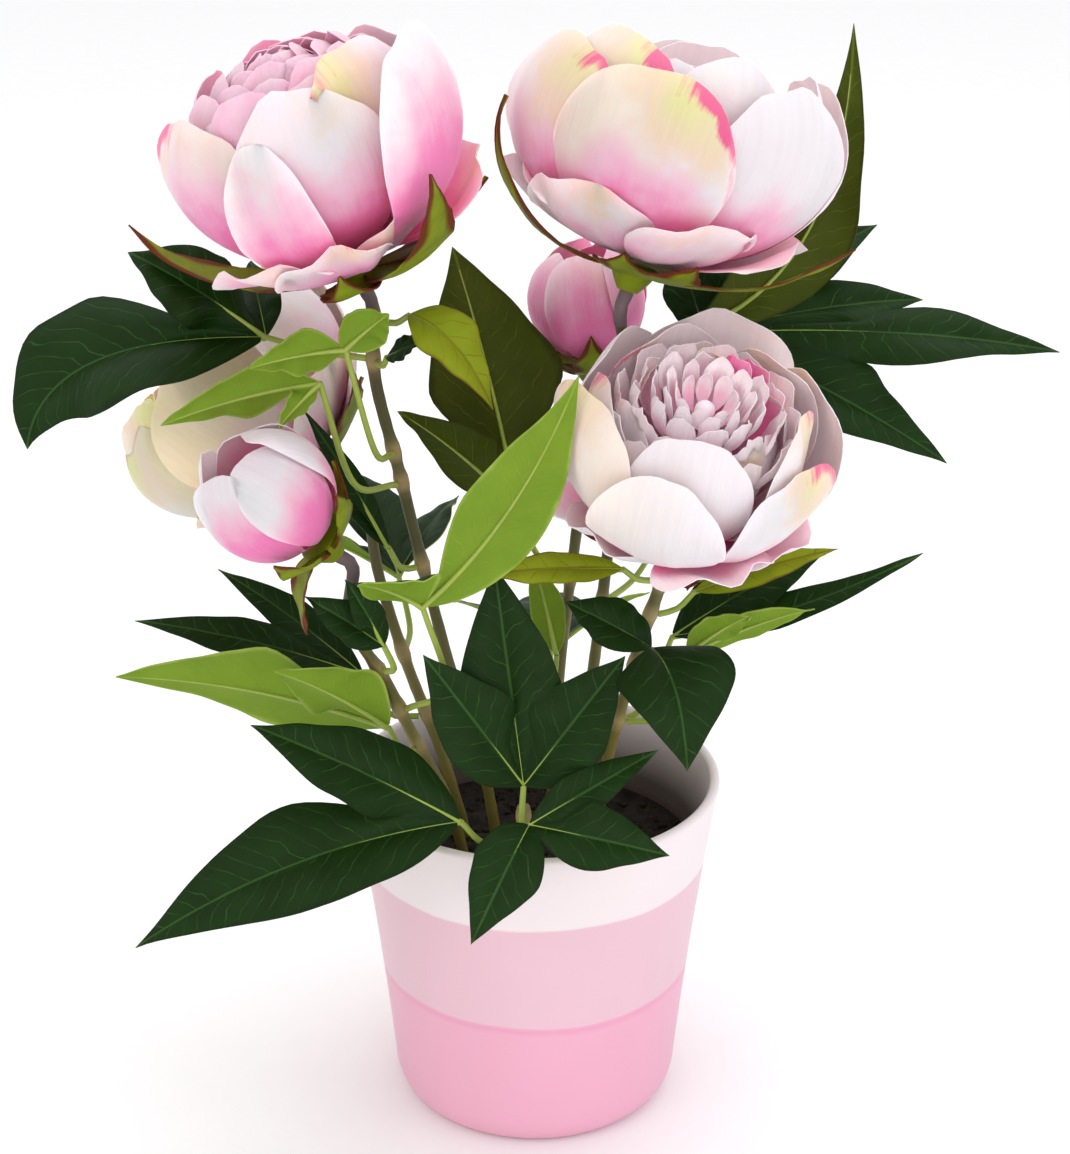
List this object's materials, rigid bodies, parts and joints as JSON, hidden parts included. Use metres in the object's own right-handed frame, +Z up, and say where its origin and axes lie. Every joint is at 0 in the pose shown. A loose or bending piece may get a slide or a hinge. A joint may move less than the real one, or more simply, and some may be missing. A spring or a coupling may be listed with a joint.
{
  "type": "potted peony",
  "caption": "Artificial peony in a tapered ceramic pot, with open globe blooms, buds and lobed leaves on thin stems, for a table or shelf.",
  "frame": {"origin": "middle of the pot's flat bottom, where it rests on a table", "axes": "+Z up, -Y towards the front of the plant as it is usually seen, +X to its right"},
  "size_m": [0.3655, 0.2143, 0.4169],
  "materials": {
    "pot_glaze": "satin pink glaze in three bands, ivory at the rim",
    "soil": "dark rough filler that looks like soil",
    "stem": "matte olive brown",
    "petals": "soft printed fabric, pale with pink at the foot",
    "calyx": "matte olive green with red-brown edges",
    "leaf": "printed fabric, satin dark green above and light green below",
    "bract": "yellow-green with brown edges"
  },
  "bodies": {
    "root": {"pot": "pot_glaze", "soil": "soil", "stem_a": "stem", "stem_b": "stem", "stem_c": "stem", "stem_d": "stem", "stem_e": "stem", "stem_f": "stem", "stem_g": "stem", "bloom_a": "petals", "bloom_b": "petals", "bloom_c": "petals", "bloom_d": "petals", "bud_e": "petals", "bud_f": "petals", "calyx_a": "calyx", "calyx_b": "calyx", "calyx_c": "calyx", "calyx_d": "calyx", "calyx_e": "calyx", "calyx_f": "calyx", "leaf_upper_left": "leaf", "leaf_light_upper": "leaf", "leaf_light_lower": "leaf", "leaf_small_upper": "leaf", "leaf_bract": "bract", "leaf_narrow_left": "leaf", "leaf_mid_left": "leaf", "leaf_back_centre": "leaf", "leaf_folded_front": "leaf", "leaf_light_left": "leaf", "leaf_dark_left": "leaf", "leaf_lower_left": "leaf", "leaf_over_rim": "leaf", "leaf_centre": "leaf", "leaf_right_droop": "leaf", "leaf_right_low": "leaf", "leaf_right_light": "leaf", "leaf_right_large": "leaf", "leaf_beside_bloom": "leaf", "bract_left": "bract", "bract_right": "bract", "leaf_small_centre": "leaf", "leaf_back_left": "leaf", "leaf_back_right": "leaf", "leaf_back_low": "leaf"}
  },
  "joints": []
}
